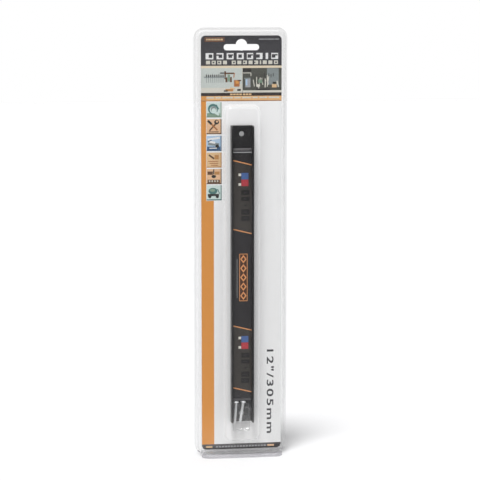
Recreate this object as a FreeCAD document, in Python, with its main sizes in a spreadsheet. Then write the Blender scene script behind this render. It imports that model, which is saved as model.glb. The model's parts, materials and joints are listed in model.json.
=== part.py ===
"""A magnetic tool bar in its hang-or-stand retail pack, as a parametric FreeCAD document.

The pack is a clear thermoformed clamshell. Its flat printed card lies between the two shells,
and the steel tool bar stands in a blister in front of the card with a bag of two screws.
Frame: +X right, +Z up, front at -Y, origin at the middle of the footprint.
Depths are counted forwards (towards -Y) from the parting plane where the shells meet.
"""
import FreeCAD, Part
import math
import os

import Sketcher

doc = FreeCAD.newDocument("magnetic_tool_bar_pack")
sizes = doc.addObject("Spreadsheet::Sheet", "Sizes")

# ---------------------------------------------------------------- driving dimensions, mm
DIMENSIONS = {
    # the pack
    "pack_width": 96.0,
    "pack_height": 439.0,
    "pack_corner": 10.0,
    "sheet_wall": 0.5,          # thermoformed PET sheet
    "seam_flange": 2.2,         # flat rim where the two shells meet
    "wall_draft": 6.0,          # degrees
    "ridge_rise": 1.4,          # rim around the card window, above the window
    "tray_rise": 7.6,           # back shell's shelf above the parting plane
    "hinge_radius": 0.45,       # bead of the living hinge
    # clearances
    "lay_gap": 0.3,             # between pieces that lie on each other
    "seam_gap": 0.2,            # between the two flanges
    "nest_gap": 0.6,            # between the nested walls of the two shells
    "swing_gap": 0.08,          # between the hinge bead and the flanges
    "blister_gap": 0.7,         # in front of the bar
    # the printed card
    "card_board": 0.4,
    "card_corner": 4.5,
    "card_side": 7.0,           # from the pack's side edge to the card
    "card_base": 6.6,           # height of its lower edge
    "card_head": 7.9,           # from the card's upper edge to the pack's top
    # the hang slot
    "slot_width": 36.0,
    "slot_height": 6.2,
    "slot_drop": 19.6,          # slot centre below the pack's top
    "dome_radius": 5.8,
    "dome_lift": 2.4,           # dome centre above the slot centre
    # the blister over the bar
    "blister_corner": 8.0,
    "blister_beside": 7.9,      # room at each side of the bar, at the blister's root
    "blister_above": 21.5,      # room above the bar
    "blister_below": 20.3,      # room below the bar, for the screw bag
    "blister_draft": 10.0,      # degrees
    "blister_round": 4.0,
    # the foot that the pack stands on
    "foot_side": 6.0,           # from the pack's side edge to the foot
    "foot_height": 5.7,
    "foot_corner": 9.0,
    "foot_round": 1.2,
    # the steel channel
    "bar_length": 305.0,
    "bar_width": 23.0,
    "bar_depth": 11.5,
    "bar_steel": 1.5,
    "bar_base": 36.0,           # height of its lower end
    "bend_radius": 2.0,
    "end_round": 2.0,
    "hole_radius": 2.6,
    "hole_inset": 8.5,          # hole centre from the bar's end
    # the magnet row
    "insert_inset": 23.0,       # bare channel at each end
    "insert_gap": 0.6,          # between the row and each side of the channel
    "stop_length": 3.0,
    "stop_height": 6.3,
    "bond_thickness": 0.4,
    "magnet_thickness": 6.0,
    "magnet_gap": 0.6,
    "magnet_chamfer": 0.5,
    "label_film": 0.25,
    # screws and their bag
    "screw_length": 24.4,       # under the head
    "screw_radius": 1.6,
    "screw_point": 5.0,
    "head_radius": 2.8,
    "head_height": 1.9,
    "head_gap": 1.0,            # left head to the channel's side
    "head_pitch": 7.6,
    "bag_gap": 0.8,             # bag to each side of the channel, before it slips sideways
    "bag_slip": 0.6,            # how far the bag lies left of the bar's middle
    "bag_height": 29.5,
    "bag_depth": 6.5,
    "bag_film": 0.15,
    "bag_corner": 2.0,
}
MAGNET_COUNT = 6
SCREW_LEANS = {"screw_left": -3.2, "screw_right": -8.6}     # degrees from upright


class Length:
    """A number together with the spreadsheet expression that gives it."""

    def __init__(self, text, value):
        self.text, self.value = text, value

    @staticmethod
    def wrap(other):
        return other if isinstance(other, Length) else Length(repr(float(other)), float(other))

    def __add__(self, other):
        other = Length.wrap(other)
        return Length(f"({self.text} + {other.text})", self.value + other.value)

    def __sub__(self, other):
        other = Length.wrap(other)
        return Length(f"({self.text} - {other.text})", self.value - other.value)

    def __mul__(self, other):
        other = Length.wrap(other)
        return Length(f"({self.text} * {other.text})", self.value * other.value)

    def __truediv__(self, other):
        other = Length.wrap(other)
        return Length(f"({self.text} / {other.text})", self.value / other.value)

    def __neg__(self):
        return self * -1


def tangent(angle):
    return Length(f"tan({angle.text} * 1 deg)", math.tan(math.radians(angle.value)))


def cosine(angle):
    return Length(f"cos({angle.text} * 1 deg)", math.cos(math.radians(angle.value)))


size = {}
for row, (alias, number) in enumerate(DIMENSIONS.items(), start=1):
    sizes.set(f"A{row}", alias)
    sizes.set(f"B{row}", str(number))
    sizes.setAlias(f"B{row}", alias)
    size[alias] = Length(f"Sizes.{alias}", number)
doc.recompute()

# ---------------------------------------------------------------- places worked out from them
ZERO = Length.wrap(0)
sheet = size["sheet_wall"]
half_pack = size["pack_width"] / 2
hinge_x = -half_pack + size["hinge_radius"]
hinge_depth = -size["seam_gap"] / 2
flange_left = hinge_x + size["hinge_radius"] + size["swing_gap"]

card_back = size["tray_rise"] + size["lay_gap"]
card_front = card_back + size["card_board"]
window_back = card_front + size["lay_gap"]
window_front = window_back + sheet
ridge_front = window_front + size["ridge_rise"]
bar_back = card_front + size["lay_gap"]
bar_front = bar_back + size["bar_depth"]
blister_inner = bar_front + size["blister_gap"]
pack_front = blister_inner + sheet
pack_back = -size["seam_gap"] - sheet
middle_y = (pack_front + pack_back) / 2      # puts the footprint's middle on the origin

card_half = half_pack - size["card_side"]
card_top = size["pack_height"] - size["card_head"]
bar_top = size["bar_base"] + size["bar_length"]
bar_half = size["bar_width"] / 2
channel_half = bar_half - size["bar_steel"]      # inside the channel
web_front = bar_back + size["bar_steel"]


# ---------------------------------------------------------------- drawing tools
def bind(thing, path, length):
    thing.setExpression(path, length.text)


def new_body(label):
    body = doc.addObject("PartDesign::Body", label)
    body.Label = label
    bind(body, ".Placement.Base.y", middle_y)
    return body


def new_sketch(body, name, role, offset):
    """A sketch on one of the body's own planes. XZ looks from the front, with its normal forwards."""
    sketch = body.newObject("Sketcher::SketchObject", name)
    plane = next(f for f in body.Origin.OriginFeatures if f.Role == role)
    sketch.AttachmentSupport = [(plane, "")]
    sketch.MapMode = "FlatFace"
    bind(sketch, ".AttachmentOffset.Base.z", offset)
    return sketch


def set_datum(sketch, constraint, length):
    """Add a dimension and tie it to the spreadsheet."""
    number = sketch.addConstraint(constraint)
    sketch.setExpression(f"Constraints[{number}]", length.text)


def outline(sketch, corners):
    """A closed outline of level and upright lines, level first; a corner is (x, y, radius or None)."""
    count = len(corners)
    spots = [FreeCAD.Vector(x.value, y.value, 0) for x, y, _ in corners]
    cuts = [radius.value if radius else 0 for _, _, radius in corners]
    lines = []
    for i in range(count):
        step = spots[(i + 1) % count] - spots[i]
        along = FreeCAD.Vector(step).normalize()
        start = spots[i] + along * cuts[i]
        end = spots[(i + 1) % count] - along * cuts[(i + 1) % count]
        lines.append(sketch.addGeometry(Part.LineSegment(start, end)))
        level = i % 2 == 0
        sketch.addConstraint(Sketcher.Constraint("Horizontal" if level else "Vertical", lines[i]))
    for i, (x, y, radius) in enumerate(corners):
        before, after = lines[i - 1], lines[i]
        if radius is None:
            sketch.addConstraint(Sketcher.Constraint("Coincident", before, 2, after, 1))
            continue
        came = (spots[i] - spots[i - 1]).normalize()
        goes = (spots[(i + 1) % count] - spots[i]).normalize()
        centre = spots[i] - came * cuts[i] + goes * cuts[i]
        left_turn = came.cross(goes).z > 0
        first = math.atan2(*(-goes)[1::-1]) if left_turn else math.atan2(*came[1::-1])
        circle = Part.Circle(centre, FreeCAD.Vector(0, 0, 1), cuts[i])
        arc = sketch.addGeometry(Part.ArcOfCircle(circle, first, first + math.pi / 2))
        arc_start, arc_end = (1, 2) if left_turn else (2, 1)
        sketch.addConstraint(Sketcher.Constraint("Tangent", before, 2, arc, arc_start))
        sketch.addConstraint(Sketcher.Constraint("Tangent", arc, arc_end, after, 1))
        set_datum(sketch, Sketcher.Constraint("Radius", arc, cuts[i]), radius)
    for i, (x, y, _) in enumerate(corners):
        level = i % 2 == 0
        kind, length = ("DistanceY", y) if level else ("DistanceX", x)
        set_datum(sketch, Sketcher.Constraint(kind, -1, 1, lines[i], 1, length.value), length)


def box_corners(left, right, low, high, radius=None):
    return [(left, low, radius), (right, low, radius), (right, high, radius), (left, high, radius)]


def circle(sketch, x, y, radius):
    centre = FreeCAD.Vector(x.value, y.value, 0)
    disc = sketch.addGeometry(Part.Circle(centre, FreeCAD.Vector(0, 0, 1), radius.value))
    set_datum(sketch, Sketcher.Constraint("Radius", disc, radius.value), radius)
    if x is ZERO:
        sketch.addConstraint(Sketcher.Constraint("PointOnObject", disc, 3, -2))
    else:
        set_datum(sketch, Sketcher.Constraint("DistanceX", -1, 1, disc, 3, x.value), x)
    set_datum(sketch, Sketcher.Constraint("DistanceY", -1, 1, disc, 3, y.value), y)


def raise_from(body, sketch, name, length, draft=None):
    """Pad along the sketch's normal, its walls leaning in by the draft angle."""
    pad = body.newObject("PartDesign::Pad", name)
    pad.Profile = sketch
    bind(pad, "Length", length)
    if draft is not None:
        bind(pad, "TaperAngle", -draft)
    doc.recompute()
    return pad


def hollow_out(body, sketch, name, length, draft=None, along_normal=True):
    """Pocket into the solid; it must take material away, which its volume shows."""
    before = body.Shape.Volume
    pocket = body.newObject("PartDesign::Pocket", name)
    pocket.Profile = sketch
    pocket.Reversed = along_normal
    bind(pocket, "Length", length)
    if draft is not None:
        bind(pocket, "TaperAngle", -draft)
    doc.recompute()
    if body.Shape.Volume > before - 1e-3:
        raise RuntimeError(f"{name} takes nothing away from {body.Label}")
    return pocket


def round_edges(body, name, radius, wanted):
    """Fillet the edges of the body's last feature for which wanted(edge) is true."""
    tip = body.Tip
    names = [f"Edge{i}" for i, edge in enumerate(tip.Shape.Edges, start=1) if wanted(edge)]
    if not names:
        raise RuntimeError(f"{name} finds no edge on {body.Label}")
    fillet = body.newObject("PartDesign::Fillet", name)
    fillet.Base = (tip, names)
    bind(fillet, "Radius", radius)
    doc.recompute()
    return fillet


def at_depth(depth):
    """True for an edge that lies wholly at this depth; a body's own y is minus the depth."""
    def test(edge):
        box = edge.BoundBox
        return abs(box.YMin + depth.value) < 1e-3 and abs(box.YMax + depth.value) < 1e-3
    return test


def above_foot(test):
    return lambda edge: test(edge) and edge.BoundBox.ZMax > size["foot_height"].value + 1e-3


def cut_hang_slot(body, depth, length):
    """The hanging slot with its dome, cut forwards from the given depth."""
    half, tall = size["slot_width"] / 2, size["slot_height"] / 2
    centre = size["pack_height"] - size["slot_drop"]
    slot = new_sketch(body, f"{body.Label}_slot_sketch", "XZ_Plane", depth)
    # the ends are a hair short of half round, so that the short upright lines stay real lines
    end_radius = tall - 0.05
    outline(slot, box_corners(-half, half, centre - tall, centre + tall, end_radius))
    hollow_out(body, slot, f"{body.Label}_slot", length)
    dome = new_sketch(body, f"{body.Label}_dome_sketch", "XZ_Plane", depth)
    circle(dome, ZERO, centre + size["dome_lift"], size["dome_radius"])
    hollow_out(body, dome, f"{body.Label}_dome", length)


# ---------------------------------------------------------------- front shell
def make_front_shell():
    body = new_body("front_shell")
    draft, leaning_sheet = size["wall_draft"], sheet / cosine(size["wall_draft"])
    wall_side = half_pack - size["seam_flange"]
    wall_low, wall_high = size["seam_flange"], size["pack_height"] - size["seam_flange"]
    wall_corner = size["pack_corner"] - size["seam_flange"]

    flange = new_sketch(body, "front_flange_sketch", "XZ_Plane", ZERO)
    outline(flange, box_corners(flange_left, half_pack, ZERO, size["pack_height"],
                                size["pack_corner"]))
    raise_from(body, flange, "front_flange", sheet)

    foot_side = half_pack - size["foot_side"]
    foot = new_sketch(body, "foot_sketch", "XY_Plane", ZERO)
    outline(foot, [(-foot_side, -pack_front, size["foot_corner"]),
                   (foot_side, -pack_front, size["foot_corner"]),
                   (foot_side, ZERO, None), (-foot_side, ZERO, None)])
    raise_from(body, foot, "foot", size["foot_height"])

    def on_foot_top(edge):
        box = edge.BoundBox
        level = abs(box.ZMin - size["foot_height"].value) < 1e-3 and box.ZLength < 1e-3
        return level and box.YMin < -sheet.value - 1e-3
    round_edges(body, "foot_edge", size["foot_round"], on_foot_top)

    platform = new_sketch(body, "platform_sketch", "XZ_Plane", ZERO)
    outline(platform, box_corners(-wall_side, wall_side, wall_low, wall_high, wall_corner))
    raise_from(body, platform, "platform", ridge_front, draft)

    window_side = card_half + size["lay_gap"]
    window_low, window_high = size["card_base"] - size["lay_gap"], card_top + size["lay_gap"]
    window = new_sketch(body, "window_sketch", "XZ_Plane", ridge_front)
    outline(window, box_corners(-window_side, window_side, window_low, window_high,
                                size["card_corner"]))
    hollow_out(body, window, "window", size["ridge_rise"], along_normal=False)

    blister_side = bar_half + size["blister_beside"]
    blister_low = size["bar_base"] - size["blister_below"]
    blister_high = bar_top + size["blister_above"]
    blister = new_sketch(body, "blister_sketch", "XZ_Plane", window_back)
    outline(blister, box_corners(-blister_side, blister_side, blister_low, blister_high,
                                 size["blister_corner"]))
    raise_from(body, blister, "blister", pack_front - window_back, size["blister_draft"])

    inner = new_sketch(body, "platform_inner_sketch", "XZ_Plane", ZERO)
    outline(inner, box_corners(leaning_sheet - wall_side, wall_side - leaning_sheet,
                               wall_low + leaning_sheet, wall_high - leaning_sheet,
                               wall_corner - leaning_sheet))
    hollow_out(body, inner, "platform_inner", window_back, draft)

    ring_inset = leaning_sheet + window_back * tangent(draft)
    ring = new_sketch(body, "ridge_inner_sketch", "XZ_Plane", window_back)
    outline(ring, box_corners(ring_inset - wall_side, wall_side - ring_inset,
                              wall_low + ring_inset, wall_high - ring_inset,
                              wall_corner - ring_inset))
    outline(ring, box_corners(-window_side - sheet, window_side + sheet, window_low - sheet,
                              window_high + sheet, size["card_corner"] + sheet))
    hollow_out(body, ring, "ridge_inner", ridge_front - window_back - sheet)

    lean = sheet / cosine(size["blister_draft"])
    bay = new_sketch(body, "blister_inner_sketch", "XZ_Plane", window_back)
    outline(bay, box_corners(lean - blister_side, blister_side - lean, blister_low + lean,
                             blister_high - lean, size["blister_corner"] - lean))
    hollow_out(body, bay, "blister_inner", blister_inner - window_back, size["blister_draft"])
    round_edges(body, "blister_inner_edge", size["blister_round"] - sheet,
                above_foot(at_depth(blister_inner)))
    round_edges(body, "blister_edge", size["blister_round"], above_foot(at_depth(pack_front)))

    sole = new_sketch(body, "foot_inner_sketch", "XY_Plane", sheet)
    outline(sole, [(sheet - foot_side, sheet - pack_front, size["foot_corner"] - sheet),
                   (foot_side - sheet, sheet - pack_front, size["foot_corner"] - sheet),
                   (foot_side - sheet, -sheet, None), (sheet - foot_side, -sheet, None)])
    hollow_out(body, sole, "foot_inner", size["foot_height"] - sheet * 2)

    cut_hang_slot(body, window_back - sheet, sheet * 3)
    return body


# ---------------------------------------------------------------- back shell
def make_back_shell():
    body = new_body("back_shell")
    draft, leaning_sheet = size["wall_draft"], sheet / cosine(size["wall_draft"])
    flange = new_sketch(body, "back_flange_sketch", "XZ_Plane", pack_back)
    outline(flange, box_corners(flange_left, half_pack, ZERO, size["pack_height"],
                                size["pack_corner"]))
    raise_from(body, flange, "back_flange", sheet)

    inset = size["seam_flange"] + leaning_sheet + size["nest_gap"]
    tray_side = half_pack - inset
    tray_high = size["pack_height"] - inset
    tray_corner = size["pack_corner"] - inset
    tray = new_sketch(body, "tray_sketch", "XZ_Plane", pack_back)
    outline(tray, box_corners(-tray_side, tray_side, inset, tray_high, tray_corner))
    raise_from(body, tray, "tray", size["tray_rise"] - pack_back, draft)
    round_edges(body, "tray_round", sheet * 1.6, at_depth(size["tray_rise"]))

    hollow = new_sketch(body, "tray_inner_sketch", "XZ_Plane", pack_back)
    outline(hollow, box_corners(leaning_sheet - tray_side, tray_side - leaning_sheet,
                                inset + leaning_sheet, tray_high - leaning_sheet,
                                tray_corner - leaning_sheet))
    hollow_out(body, hollow, "tray_inner", size["tray_rise"] - pack_back - sheet, draft)
    cut_hang_slot(body, size["tray_rise"] - sheet * 2, sheet * 3)
    return body


def make_living_hinge():
    bead = doc.addObject("Part::Cylinder", "living_hinge")
    bead.Label = "living_hinge"
    bind(bead, "Radius", size["hinge_radius"])
    bind(bead, "Height", size["pack_height"] - size["pack_corner"] * 2)
    bind(bead, ".Placement.Base.x", hinge_x)
    bind(bead, ".Placement.Base.y", middle_y - hinge_depth)
    bind(bead, ".Placement.Base.z", size["pack_corner"])
    return bead


def make_insert_card():
    body = new_body("insert_card")
    face = new_sketch(body, "card_sketch", "XZ_Plane", card_back)
    outline(face, box_corners(-card_half, card_half, size["card_base"], card_top,
                              size["card_corner"]))
    raise_from(body, face, "card_board_pad", size["card_board"])
    cut_hang_slot(body, card_back - sheet, size["card_board"] + sheet * 2)
    return body


# ---------------------------------------------------------------- the tool bar
def make_bar_channel():
    body = new_body("bar_channel")
    outer, inner = bar_half, channel_half
    inside_bend = size["bend_radius"] - size["bar_steel"]
    profile = new_sketch(body, "channel_profile", "XY_Plane", size["bar_base"])
    bend = size["bend_radius"]
    outline(profile, [(-outer, -bar_front, None), (-inner, -bar_front, None),
                      (-inner, -web_front, inside_bend), (inner, -web_front, inside_bend),
                      (inner, -bar_front, None), (outer, -bar_front, None),
                      (outer, -bar_back, bend), (-outer, -bar_back, bend)])
    raise_from(body, profile, "channel", size["bar_length"])

    def flange_end(edge):
        box = edge.BoundBox
        at_front = abs(box.YMax + bar_front.value) < 1e-3
        at_end = min(abs(box.ZMin - size["bar_base"].value), abs(box.ZMax - bar_top.value)) < 1e-3
        return at_front and at_end and box.YLength < 1e-3 and box.ZLength < 1e-3
    round_edges(body, "flange_ends", size["end_round"], flange_end)

    holes = new_sketch(body, "wall_holes_sketch", "XZ_Plane", bar_back)
    for height in (size["bar_base"] + size["hole_inset"], bar_top - size["hole_inset"]):
        circle(holes, ZERO, height, size["hole_radius"])
    hollow_out(body, holes, "wall_holes", size["bar_steel"] * 1.5)
    return body


def make_slab(label, left, width, back, thickness, low, height):
    """A plain flat piece that lies in the channel; back is its depth nearest the card."""
    slab = doc.addObject("Part::Box", label)
    slab.Label = label
    bind(slab, "Length", width)
    bind(slab, "Width", thickness)
    bind(slab, "Height", height)
    bind(slab, ".Placement.Base.x", left)
    bind(slab, ".Placement.Base.y", middle_y - back - thickness)
    bind(slab, ".Placement.Base.z", low)
    return slab


def soften(label, slab, amount):
    """The same slab with its twelve edges chamfered, under the node's own label."""
    doc.recompute()
    slab.Label = f"{label}_blank"
    piece = doc.addObject("Part::Chamfer", label)
    piece.Label = label
    piece.Base = slab
    piece.Edges = [(i, amount.value, amount.value) for i in range(1, len(slab.Shape.Edges) + 1)]
    return piece


def make_magnet_row():
    insert_half = channel_half - size["insert_gap"]
    insert_left, insert_width = -insert_half, insert_half * 2
    insert_low = size["bar_base"] + size["insert_inset"]
    insert_high = bar_top - size["insert_inset"]
    row_low = insert_low + size["stop_length"] + size["lay_gap"]
    row_high = insert_high - size["stop_length"] - size["lay_gap"]
    magnet_back = web_front + size["bond_thickness"]
    magnet_front = magnet_back + size["magnet_thickness"]
    gaps = size["magnet_gap"] * (MAGNET_COUNT - 1)
    magnet_length = (row_high - row_low - gaps) / MAGNET_COUNT

    pieces = [make_slab("bond_strip", insert_left, insert_width, web_front,
                        size["bond_thickness"], row_low, row_high - row_low)]
    for i in range(MAGNET_COUNT):
        label = f"magnet_block_{i + 1}"
        low = row_low + (magnet_length + size["magnet_gap"]) * i
        blank = make_slab(label + "_blank", insert_left, insert_width, magnet_back,
                          size["magnet_thickness"], low, magnet_length)
        pieces.append(soften(label, blank, size["magnet_chamfer"]))
    pieces.append(make_slab("label_strip", insert_left, insert_width, magnet_front,
                            size["label_film"], row_low, row_high - row_low))
    for label, low in (("end_stop_bottom", insert_low),
                       ("end_stop_top", insert_high - size["stop_length"])):
        blank = make_slab(label + "_blank", insert_left, insert_width, web_front,
                          size["stop_height"], low, size["stop_length"])
        pieces.append(soften(label, blank, size["magnet_chamfer"]))
    return pieces


# ---------------------------------------------------------------- screws and their bag
screw_depth = web_front + size["lay_gap"] + size["bag_depth"] / 2


def make_screw(label, head_x, lean):
    """A pan-head screw turned on its own axis, head up, then leant about its head."""
    body = doc.addObject("PartDesign::Body", label)
    half = new_sketch(body, f"{label}_profile", "XZ_Plane", ZERO)
    top, under = ZERO, -size["head_height"]
    tip = under - size["screw_length"]
    shank = size["screw_radius"]
    spots = [(ZERO, top), (size["head_radius"], top), (size["head_radius"], under),
             (shank, under), (shank, tip + size["screw_point"]), (ZERO, tip)]
    points = [FreeCAD.Vector(x.value, y.value, 0) for x, y in spots]
    for i, point in enumerate(points):
        half.addGeometry(Part.LineSegment(point, points[(i + 1) % len(points)]))
    for i in range(len(points)):
        half.addConstraint(Sketcher.Constraint("Coincident", i, 2, (i + 1) % len(points), 1))
    for i, (x, y) in enumerate(spots):
        if x is ZERO:
            half.addConstraint(Sketcher.Constraint("PointOnObject", i, 1, -2))
        else:
            set_datum(half, Sketcher.Constraint("DistanceX", -1, 1, i, 1, x.value), x)
        if y is ZERO:
            half.addConstraint(Sketcher.Constraint("PointOnObject", i, 1, -1))
        else:
            set_datum(half, Sketcher.Constraint("DistanceY", -1, 1, i, 1, y.value), y)
    turned = body.newObject("PartDesign::Revolution", f"{label}_turned")
    turned.Profile = half
    turned.ReferenceAxis = (half, ["V_Axis"])
    doc.recompute()

    def crown(edge):
        box = edge.BoundBox
        return abs(box.ZMax) < 1e-3 and box.ZLength < 1e-3 and box.XLength > shank.value
    round_edges(body, f"{label}_crown", size["head_height"] * 0.6, crown)
    turn = FreeCAD.Rotation(FreeCAD.Vector(0, 1, 0), -lean)
    body.Placement = FreeCAD.Placement(FreeCAD.Vector(), turn)
    bind(body, ".Placement.Base.x", head_x)
    bind(body, ".Placement.Base.y", middle_y - screw_depth)
    bind(body, ".Placement.Base.z",
         size["bar_base"] + size["insert_inset"] - size["lay_gap"] * 2)
    return body


def make_mounting_screws():
    pair = doc.addObject("Part::Compound", "mounting_screws")
    pair.Label = "mounting_screws"
    first_x = size["head_radius"] + size["head_gap"] - channel_half
    pair.Links = [make_screw(label, first_x + size["head_pitch"] * i, lean)
                  for i, (label, lean) in enumerate(SCREW_LEANS.items())]
    return pair


def make_screw_bag():
    """An open-mouthed film pouch; the screw heads stand out of its mouth."""
    body = new_body("screw_bag")
    film, half = size["bag_film"], channel_half - size["bag_gap"]
    left, right = -half - size["bag_slip"], half - size["bag_slip"]
    back, front = web_front + size["lay_gap"], web_front + size["lay_gap"] + size["bag_depth"]
    mouth = size["bar_base"] + size["insert_inset"] - size["lay_gap"] * 3 - size["head_height"]
    base = mouth - size["bag_height"]
    outside = new_sketch(body, "bag_sketch", "XY_Plane", base)
    outline(outside, box_corners(left, right, -front, -back, size["bag_corner"]))
    raise_from(body, outside, "bag", size["bag_height"])
    inside = new_sketch(body, "bag_inner_sketch", "XY_Plane", base + film)
    outline(inside, box_corners(left + film, right - film, film - front, -back - film,
                                size["bag_corner"] - film))
    hollow_out(body, inside, "bag_inner", size["bag_height"])
    return body


# ---------------------------------------------------------------- build, check, write
nodes = [make_back_shell(), make_living_hinge(), make_front_shell(), make_insert_card(),
         make_bar_channel(), *make_magnet_row(), make_mounting_screws(), make_screw_bag()]
doc.recompute()

for thing in doc.Objects:
    if "Invalid" in thing.State or "Error" in thing.State:
        raise RuntimeError(f"{thing.Label} did not build: {thing.State}")
for node in nodes:
    if node.Shape.isNull() or not node.Shape.isValid():
        raise RuntimeError(f"{node.Label} has no valid shape")

os.makedirs("parts", exist_ok=True)
for node in nodes:
    node.Shape.exportStep(f"parts/{node.Label}.step")
    box = node.Shape.BoundBox
    print(f"{node.Label:18s} {len(node.Shape.Solids)} solid(s) {node.Shape.Volume:10.1f} mm3  "
          f"x {box.XMin:.2f}..{box.XMax:.2f}  y {box.YMin:.2f}..{box.YMax:.2f}  "
          f"z {box.ZMin:.2f}..{box.ZMax:.2f}")
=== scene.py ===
import json
import math

import bpy
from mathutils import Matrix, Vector

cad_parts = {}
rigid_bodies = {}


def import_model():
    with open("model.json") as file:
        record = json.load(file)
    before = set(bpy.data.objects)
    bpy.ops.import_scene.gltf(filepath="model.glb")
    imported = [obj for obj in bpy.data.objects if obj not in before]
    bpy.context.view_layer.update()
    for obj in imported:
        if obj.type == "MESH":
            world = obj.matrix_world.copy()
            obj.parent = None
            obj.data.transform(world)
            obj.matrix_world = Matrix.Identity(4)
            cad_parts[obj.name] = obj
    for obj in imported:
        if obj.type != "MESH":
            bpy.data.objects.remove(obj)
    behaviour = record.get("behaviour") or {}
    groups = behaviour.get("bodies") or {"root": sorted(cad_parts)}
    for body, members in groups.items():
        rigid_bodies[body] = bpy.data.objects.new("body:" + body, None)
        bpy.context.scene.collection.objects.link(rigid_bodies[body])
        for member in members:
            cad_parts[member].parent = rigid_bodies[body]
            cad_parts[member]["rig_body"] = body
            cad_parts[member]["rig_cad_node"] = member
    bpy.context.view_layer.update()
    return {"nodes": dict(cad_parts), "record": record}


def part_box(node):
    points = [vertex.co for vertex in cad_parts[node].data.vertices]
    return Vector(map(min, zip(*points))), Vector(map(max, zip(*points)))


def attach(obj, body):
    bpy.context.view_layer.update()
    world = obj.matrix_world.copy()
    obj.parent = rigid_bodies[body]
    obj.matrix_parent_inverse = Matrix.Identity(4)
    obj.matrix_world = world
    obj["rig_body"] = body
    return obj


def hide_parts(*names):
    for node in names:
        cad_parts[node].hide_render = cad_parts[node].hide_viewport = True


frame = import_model()
MM = 0.001
nodes = frame["nodes"]


# ------------------------------------------------------------------ back shell and its living hinge
# The back half of the clamshell: one sheet of clear PET, thermoformed hot over a mould, so its edges
# are soft and its gloss ripples a little. Its raised tray presses the card against the window. The
# hinge is a crease in the same sheet, along the left edge.
def ink(code):
    """The linear colour of an sRGB hex value."""
    parts = [int(code[i:i + 2], 16) / 255 for i in (1, 3, 5)]
    return [p / 12.92 if p <= 0.04045 else ((p + 0.055) / 1.055) ** 2.4 for p in parts] + [1.0]


def add(material, kind, sockets=None, **settings):
    """Add a node with its settings, and set each socket named, or link it if it is given an output."""
    tree = material.node_tree
    node = tree.nodes.new(kind)
    for name, value in settings.items():
        setattr(node, name, value)
    for name, value in (sockets or {}).items():
        if isinstance(value, bpy.types.NodeSocket):
            tree.links.new(value, node.inputs[name])
        else:
            node.inputs[name].default_value = value
    return node


def bare_material(name):
    """A material with no nodes yet."""
    material = bpy.data.materials.new(name)
    material.use_nodes = True
    material.node_tree.nodes.clear()
    return material


def cloud(material, size_mm, detail):
    """A soft noise of the given grain size, fixed to the piece."""
    place = add(material, "ShaderNodeTexCoord")
    noise = add(material, "ShaderNodeTexNoise",
                {"Vector": place.outputs["Object"], "Scale": 1 / (size_mm * MM), "Detail": detail})
    return noise.outputs["Fac"]


def ripple(material, size_mm, depth_mm, strength=1.0, detail=2.0):
    """The normal of an uneven surface, with bumps of the given width and depth."""
    bump = add(material, "ShaderNodeBump",
               {"Height": cloud(material, size_mm, detail), "Distance": depth_mm * MM,
                "Strength": strength})
    return bump.outputs["Normal"]


SHEET_IOR = 1.57


def clear_sheet(name, haze, haze_share, edge_share, most_gleam, ripple_mm, ripple_depth):
    """Thin clear plastic: it mirrors a little of the room, and looks hazy where it is seen edge on."""
    material = bare_material(name)
    uneven = ripple(material, ripple_mm, ripple_depth)
    through = add(material, "ShaderNodeBsdfTransparent", {"Color": ink("#fdfdfd")})
    mirror = add(material, "ShaderNodeBsdfGlossy", {"Roughness": 0.09, "Normal": uneven})
    fresnel = add(material, "ShaderNodeFresnel", {"IOR": SHEET_IOR, "Normal": uneven})
    # the sheet's own inner mirroring is not traced, so its gloss stops short of a full mirror
    gleam = add(material, "ShaderNodeMath", {0: fresnel.outputs["Fac"], 1: most_gleam},
                operation="MINIMUM")
    film = add(material, "ShaderNodeMixShader",
               {0: gleam.outputs["Value"], 1: through.outputs["BSDF"], 2: mirror.outputs["BSDF"]})
    body = add(material, "ShaderNodeBsdfPrincipled",
               {"Base Color": ink(haze), "Roughness": 0.3, "IOR": SHEET_IOR, "Normal": uneven})
    grazing = add(material, "ShaderNodeLayerWeight", {"Blend": 0.35})
    share = add(material, "ShaderNodeMapRange",
                {"Value": grazing.outputs["Facing"], "From Min": 0.1, "From Max": 1.0,
                 "To Min": haze_share, "To Max": edge_share})
    sheet = add(material, "ShaderNodeMixShader",
                {0: share.outputs["Result"], 1: film.outputs["Shader"], 2: body.outputs["BSDF"]})
    # light passes the thin sheet almost whole on its way in, so what lies under it is lit as if bare
    rays = add(material, "ShaderNodeLightPath")
    lighting = add(material, "ShaderNodeMath",
                   {0: rays.outputs["Is Shadow Ray"], 1: rays.outputs["Is Diffuse Ray"]},
                   operation="MAXIMUM")
    open_way = add(material, "ShaderNodeBsdfTransparent", {"Color": ink("#f8f8f8")})
    surface = add(material, "ShaderNodeMixShader",
                  {0: lighting.outputs["Value"], 1: sheet.outputs["Shader"],
                   2: open_way.outputs["BSDF"]})
    add(material, "ShaderNodeOutputMaterial", {"Surface": surface.outputs["Shader"]})
    return material


def select(*pieces):
    """Make the pieces the only ones selected, with the first of them active."""
    bpy.ops.object.select_all(action="DESELECT")
    for each in pieces:
        each.select_set(True)
    bpy.context.view_layer.objects.active = pieces[0]


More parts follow.
